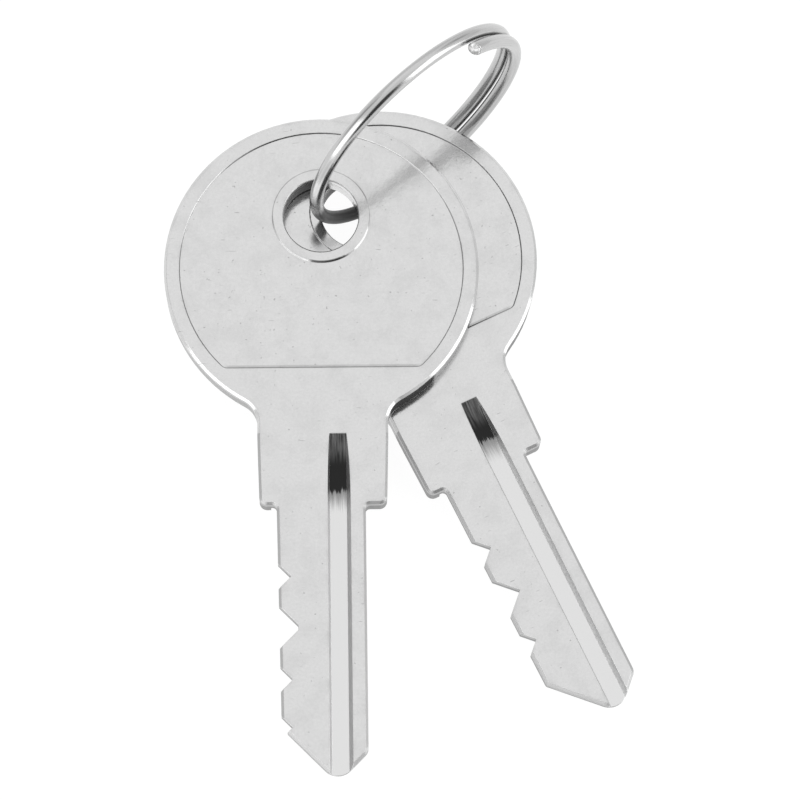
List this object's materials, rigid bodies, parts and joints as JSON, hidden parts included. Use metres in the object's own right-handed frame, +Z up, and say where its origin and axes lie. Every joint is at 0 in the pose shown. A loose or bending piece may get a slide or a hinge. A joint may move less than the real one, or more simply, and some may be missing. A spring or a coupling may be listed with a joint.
{
  "type": "keys on a split ring",
  "caption": "Flat nickel-plated keys with round bows, grooved blades and V cuts, fanned out on a small split ring of round wire.",
  "frame": {"origin": "middle of the underside of the box round the keys and ring as they lie on a table", "axes": "+Z up from the table; -Y the way the front key's blade points, seen from above; +X to the side that the rear key fans out to"},
  "size_m": [0.0366, 0.058, 0.0213],
  "materials": {
    "plated_key": "nickel plated sheet, satin bright, lightly marked",
    "plated_wire": "nickel plated spring steel wire, bright"
  },
  "bodies": {
    "split_ring": {"split_ring": "plated_wire"},
    "front_key": {"front_key": "plated_key"},
    "rear_key": {"rear_key": "plated_key"}
  },
  "joints": [
    {"name": "front_key_swing", "type": "hinge", "parent": "split_ring", "child": "front_key", "pos_m": [-0.00539, 0.01584, 0.00601], "axis": [-0.0746, -0.1131, 0.9908], "range_deg": [-207, 110]},
    {"name": "rear_key_swing", "type": "hinge", "parent": "split_ring", "child": "rear_key", "pos_m": [-0.00425, 0.01666, 0.00405], "axis": [-0.0746, -0.1131, 0.9908], "range_deg": [-216, 34]}
  ]
}
